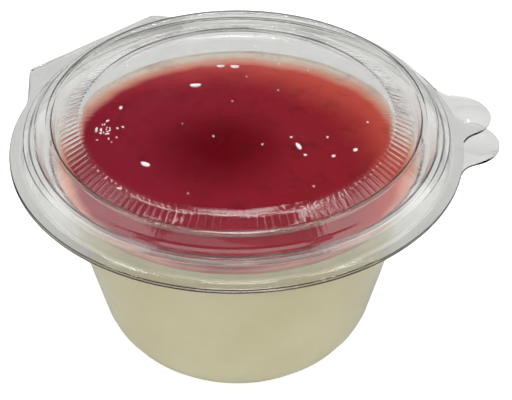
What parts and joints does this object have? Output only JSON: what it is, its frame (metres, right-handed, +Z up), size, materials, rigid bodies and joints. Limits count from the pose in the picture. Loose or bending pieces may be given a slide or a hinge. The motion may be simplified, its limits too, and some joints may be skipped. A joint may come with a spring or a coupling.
{
  "type": "panna cotta cup",
  "caption": "Clear tapered dessert cup filled with panna cotta under a level red berry sauce, closed by a clear hinged snap lid with a ribbed ring and finger tabs.",
  "frame": {"origin": "centre of the flat base of the cup", "axes": "+Z up, finger tabs towards +X, front towards -Y; the lid's fold lies about 130 degrees anticlockwise from +X seen from above"},
  "size_m": [0.119, 0.1124, 0.0644],
  "materials": {
    "clear_plastic": "clear gloss",
    "clear_lid_plastic": "clear gloss",
    "set_cream": "smooth set cream, satin",
    "berry_sauce": "glossy translucent sauce"
  },
  "bodies": {
    "cup": {"cup": "clear_plastic", "panna_cotta": "set_cream", "berry_sauce": "berry_sauce"},
    "lid": {"lid": "clear_lid_plastic"}
  },
  "joints": [
    {"name": "lid_hinge", "type": "hinge", "parent": "cup", "child": "lid", "pos_m": [-0.03805, 0.04423, 0.05515], "axis": [-0.7581, -0.6521, 0], "range_deg": [0, 180]}
  ]
}
